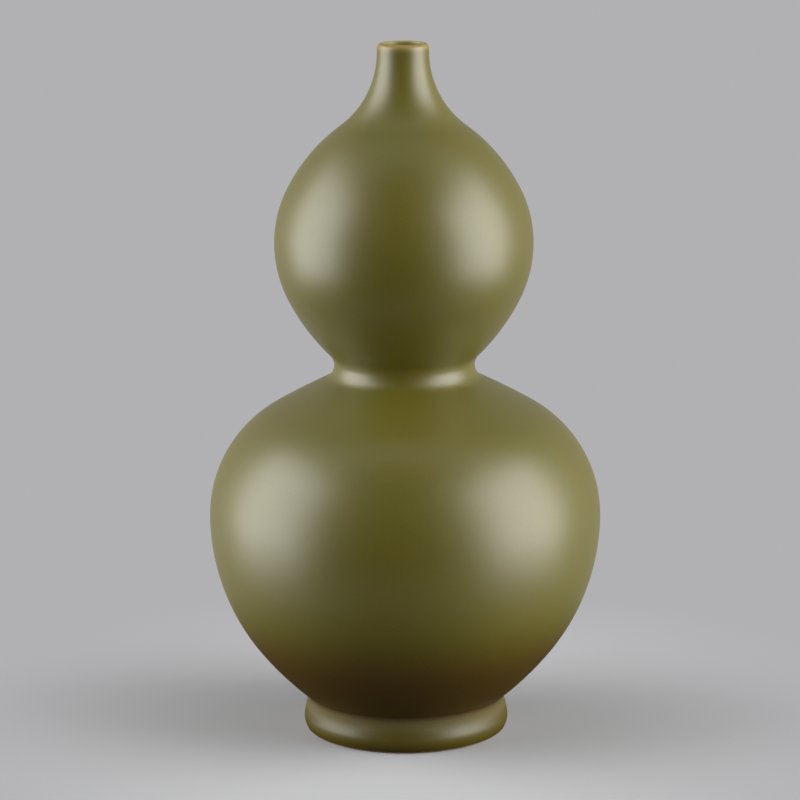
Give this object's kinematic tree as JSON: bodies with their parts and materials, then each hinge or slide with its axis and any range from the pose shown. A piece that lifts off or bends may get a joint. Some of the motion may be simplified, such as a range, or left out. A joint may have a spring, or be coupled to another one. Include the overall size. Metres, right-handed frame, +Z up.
{
  "type": "gourd vase",
  "caption": "Double-gourd bottle vase of luted stoneware sections: broad lower bulb, waisted smaller bulb, slim neck with a round mouth, recessed foot ring, satin olive glaze.",
  "frame": {"origin": "centre of the foot ring on the surface that the vase stands on", "axes": "+Z up along the axis of the pot, from foot to mouth; X and Y are horizontal and alike"},
  "size_m": [0.1862, 0.1862, 0.33],
  "materials": {
    "stoneware": "fired bare stoneware, matte",
    "slip": "fired luting slip, matte",
    "outer_glaze": "satin olive tea-dust glaze, brown where thin",
    "inner_glaze": "satin olive liner glaze",
    "recess_glaze": "thin satin olive-brown glaze"
  },
  "bodies": {
    "root": {"foot_ring": "stoneware", "foot_seam": "slip", "lower_bowl": "stoneware", "belly_seam": "slip", "lower_dome": "stoneware", "waist_seam": "slip", "upper_bowl": "stoneware", "bulb_seam": "slip", "upper_dome": "stoneware", "neck_seam": "slip", "neck": "stoneware", "outer_glaze": "outer_glaze", "inner_glaze": "inner_glaze", "recess_glaze": "recess_glaze"}
  },
  "joints": []
}
